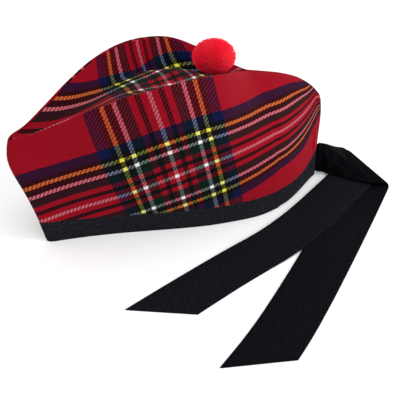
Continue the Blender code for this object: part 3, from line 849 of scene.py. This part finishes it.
def ribbon(name, colour, weave, shade_until=None):
    """Matt ribbed ribbon. Where it has a gathered start, painted shade darkens that stretch, for the shade in
    its folds.
    """
    shader = Shader(name, Roughness=0.7)
    shader.surface.inputs["Specular IOR Level"].default_value = 0.01
    place = shader.cloth_place()
    parts = shader.add("ShaderNodeSeparateXYZ", {0: place}).outputs
    ribs = shader.math("SINE", shader.math("MULTIPLY", parts[0], 2 * pi / weave))
    cross = shader.math("SINE", shader.math("MULTIPLY", parts[1], 2 * pi / (CROSS_WEAVE * weave)))
    height = shader.math("MULTIPLY_ADD", cross, CROSS_RELIEF, ribs)
    mottle = shader.noise(place, MOTTLE_SCALE, 3.0, 0.6)
    speck = shader.noise(place, SPECK_SCALE, 2.0, 0.8)
    shade = shader.math("MULTIPLY", shader.span(mottle, *MOTTLE_SHADES), shader.span(speck, *SPECK_SHADES))
    # Painted shade: the gathered start is darkened in colour for the shade in its folds, and on the lower
    # tail further on, under the upper one
    if shade_until:
        gather_shade_ramp = {0: parts[0], 1: GATHER_SHADE_FROM, 2: shade_until, 3: GATHER_SHADE_SHARE, 4: 1.0}
        shade = shader.math("MULTIPLY", shade, shader.add("ShaderNodeMapRange", gather_shade_ramp).outputs[0])
    shades = shader.add("ShaderNodeCombineXYZ", {0: shade, 1: shade, 2: shade}).outputs[0]
    colour = shader.mix(1.0, linear(colour), shades, "MULTIPLY")
    shader.put(shader.surface.inputs["Base Color"], colour)
    shader.put(shader.surface.inputs["Normal"], shader.bump(height, RIB_DEPTH, strength=0.6))
    return shader.material


def wool(name, shaded_root, bright):
    """Wool that brightens from the foot of a strand to its tip: painted shade at the feet, where the strands
    crowd together.
    """
    shader = Shader(name, Roughness=0.9, Sheen_Weight=0.12, Sheen_Roughness=0.4)
    shader.surface.inputs["Specular IOR Level"].default_value = 0.2
    place = shader.local_place()
    parts = shader.add("ShaderNodeSeparateXYZ", {0: shader.cloth_place()}).outputs
    mottle = shader.noise(place, WOOL_MOTTLE_SCALE, 3.0, 0.6)
    away_from_shade = shader.math("MULTIPLY", parts[1], shader.span(mottle, *WOOL_MOTTLE_SHADES))
    colour = shader.mix(away_from_shade, linear(shaded_root), linear(bright))
    shader.put(shader.surface.inputs["Base Color"], colour)
    fibre = shader.noise(place, WOOL_FIBRE_SCALE, 2.0, 0.6)
    shader.put(shader.surface.inputs["Normal"], shader.bump(fibre, WOOL_DEPTH, strength=0.5))
    return shader.material


def floor_paint():
    shader = Shader("floor_paint", Roughness=0.9)
    grain = shader.noise(shader.local_place(), FLOOR_GRAIN_SCALE)
    colour = shader.mix(grain, *FLOOR_SHADES)
    shader.put(shader.surface.inputs["Base Color"], colour)
    return shader.material


# Pompom
def tube_faces(start, rings, sides):
    """Faces between rings of points that lie one after another."""
    faces = []
    for ring in range(rings - 1):
        one, two = start + ring * sides, start + (ring + 1) * sides
        for side in range(sides):
            after = (side + 1) % sides
            faces.append((one + side, one + after, two + after, two + side))
    return faces


def turned(face):
    """The face seen from its other side."""
    return face[:1] + face[:0:-1]


def core_points(centre, size):
    """Rings of points on the core, from its top down."""
    points = []
    for row in range(CORE_ROWS + 1):
        polar = pi * row / CORE_ROWS
        for side in range(CORE_SIDES):
            angle = 2 * pi * side / CORE_SIDES
            direction = np.array([sin(polar) * cos(angle), sin(polar) * sin(angle), cos(polar)])
            points.append(centre + direction * size * CORE_REACH)
    return points


def strand_points(centre, size, number, rng):
    """Rings of points on one strand, from its foot to its tip. The strands spread evenly over the head."""
    z = 1 - (2 * number + 1) / STRANDS
    ring = sqrt(max(1 - z * z, 0.0))
    angle = pi * (3 - sqrt(5)) * number
    direction = np.array([ring * cos(angle), ring * sin(angle), z])
    direction += rng.normal(0, SCATTER, 3)
    direction /= np.linalg.norm(direction)
    reach = min(1 + rng.normal(0, REACH_SPREAD), LONGEST_REACH)
    sway = rng.normal(0, SWAY, 3)
    across = np.cross(direction, STRAND_GUIDE)
    across /= np.linalg.norm(across)
    other = np.cross(direction, across)
    points = []
    for level in LEVELS:
        bent = direction + sway * (level.reach - LEVELS[0].reach) * SWAY_GROWTH
        middle = centre + bent * size * (level.reach * reach)
        radius = STRAND_RADIUS * level.radius
        for side in range(STRAND_SIDES):
            angle = 2 * pi * side / STRAND_SIDES
            points.append(middle + radius * (across * cos(angle) + other * sin(angle)))
    return points


def make_toorie(low, high):
    """Head of cut wool: strands that stand out from a core."""
    centre = np.array((low + high) / 2)
    size = np.array((high - low) / 2)
    rng = np.random.default_rng(STRAND_SEED)
    verts = core_points(centre, size)
    # The core sits among the strands' feet and takes a middle share of their painted shade
    places = [(0.5, 0.5)] * len(verts)
    faces = [turned(face) for face in tube_faces(0, CORE_ROWS + 1, CORE_SIDES)]
    first, last = LEVELS[0].reach, LEVELS[-1].reach
    for number in range(STRANDS):
        foot = len(verts)
        verts += strand_points(centre, size, number, rng)
        for level in LEVELS:
            # The second place runs from a strand's foot to its tip and sets how much painted shade it takes
            places += [(number / STRANDS, (level.reach - first) / (last - first))] * STRAND_SIDES
        faces += tube_faces(foot, len(LEVELS), STRAND_SIDES)
        tip = len(verts) - STRAND_SIDES
        faces.append(tuple(tip + side for side in range(STRAND_SIDES)))
        faces.append(tuple(foot + side for side in reversed(range(STRAND_SIDES))))
    return mesh_object("pompom", np.array(verts), faces, np.array(places))


# Stage
def area_light(light):
    lamp = bpy.data.lights.new(light.name, "AREA")
    lamp.shape = "DISK"
    lamp.size = light.size
    lamp.energy = light.power
    obj = bpy.data.objects.new(light.name, lamp)
    obj.location = light.place
    obj.rotation_euler = (Vector(light.aim) - Vector(light.place)).to_track_quat("-Z", "Y").to_euler()
    bpy.context.scene.collection.objects.link(obj)


def make_stage():
    corners = [(x * FLOOR_REACH, y * FLOOR_REACH, 0) for x, y in ((-1, -1), (1, -1), (1, 1), (-1, 1))]
    floor = mesh_object("floor", corners, [(0, 1, 2, 3)])
    floor.data.materials.append(floor_paint())
    world = bpy.data.worlds.new("studio")
    bpy.context.scene.world = world
    world.use_nodes = True
    background = world.node_tree.nodes["Background"]
    background.inputs["Color"].default_value = (1.0, 1.0, 1.0, 1)
    background.inputs["Strength"].default_value = WORLD_STRENGTH
    for light in LIGHTS:
        area_light(light)
    bpy.context.scene.view_settings.view_transform = "Standard"


def make_camera(shift):
    a, e = CAMERA_AZIMUTH, CAMERA_ELEVATION
    right = Vector((cos(a), sin(a), 0))
    up = Vector((-sin(a) * sin(e), cos(a) * sin(e), cos(e)))
    back = Vector((sin(a) * cos(e), -cos(a) * cos(e), sin(e)))
    camera = bpy.data.objects.new("camera", bpy.data.cameras.new("camera"))
    camera.data.sensor_width = SENSOR
    camera.data.lens = LENS
    turn = Matrix((right, up, back)).transposed().to_4x4()
    camera.matrix_world = Matrix.Translation(CAMERA_TARGET + shift + back * CAMERA_DISTANCE) @ turn
    bpy.context.scene.collection.objects.link(camera)
    bpy.context.scene.camera = camera


def main():
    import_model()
    sections = smooth_rows(SECTIONS, SECTION_STEPS)
    near, near_places = side_grid(sections)
    crown_points, crown_places = crown_grid(crown_lines(sections))
    ring, ring_places = band_grid(sections)
    proud_ring = ring + normals_of(ring, ring=True) * BAND_PROUD
    tail_right = Tail(RIGHT_BENDS, RIGHT_CREASE, 0)
    tail_left = Tail(LEFT_BENDS, LEFT_CREASE, 1)
    upper, upper_length = make_tail("ribbon_tail_left", tail_left, tail_right, LAYER)
    lower, lower_length = make_tail("ribbon_tail_right", tail_right, tail_right, 0.0)
    low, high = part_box("band")
    shift = Vector(((low.x + high.x - ring[..., 0].min() - ring[..., 0].max()) / 2, (low.y + high.y) / 2, 0))

    cloth = tartan()
    # Painted sheen: the binding's colour is a little lighter for the gloss toward its rear
    binding_cloth = ribbon("binding_ribbon", BINDING_COLOUR_WITH_SHEEN, BINDING_WEAVE)
    upper_cloth = ribbon("upper_tail_ribbon", UPPER_RIBBON_COLOUR, TAIL_WEAVE, UPPER_SHADE_UNTIL)
    # Painted shade: the lower tail takes a darker copy of the upper tail's ribbon
    shaded_lower_cloth = ribbon("shaded_lower_tail_ribbon", SHADED_LOWER_RIBBON_COLOUR, TAIL_WEAVE, LOWER_SHADE_UNTIL)
    Piece = namedtuple("Piece", "obj node slot material")
    pieces = (
        Piece(slab("tartan_side_left", near, near_places, CLOTH_WALL, clip=-1), "side_left", "tartan", cloth),
        Piece(slab("tartan_side_right", mirrored(near), near_places * (-1, 1), CLOTH_WALL, flip=-1, clip=1),
              "side_right", "tartan", cloth),
        Piece(slab("tartan_crown", crown_points, crown_places, CLOTH_WALL), "crown", "tartan", cloth),
        Piece(slab("ribbon_binding", proud_ring, ring_places, BAND_WALL, ring=True), "band", "binding",
              binding_cloth),
        Piece(make_toorie(*(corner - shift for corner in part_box("toorie"))), "toorie", "wool",
              wool("red_wool", WOOL_ROOT_SHADE, WOOL_BRIGHT)),
        Piece(upper, "tail_left", "ribbon", upper_cloth),
        Piece(lower, "tail_right", "ribbon", shaded_lower_cloth),
    )
    for piece in pieces:
        piece.obj.data.transform(Matrix.Translation(shift))
        piece.obj.data.materials.append(piece.material)
        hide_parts(piece.node)
        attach(piece.obj, "root")

    make_stage()
    make_camera(shift)


main()
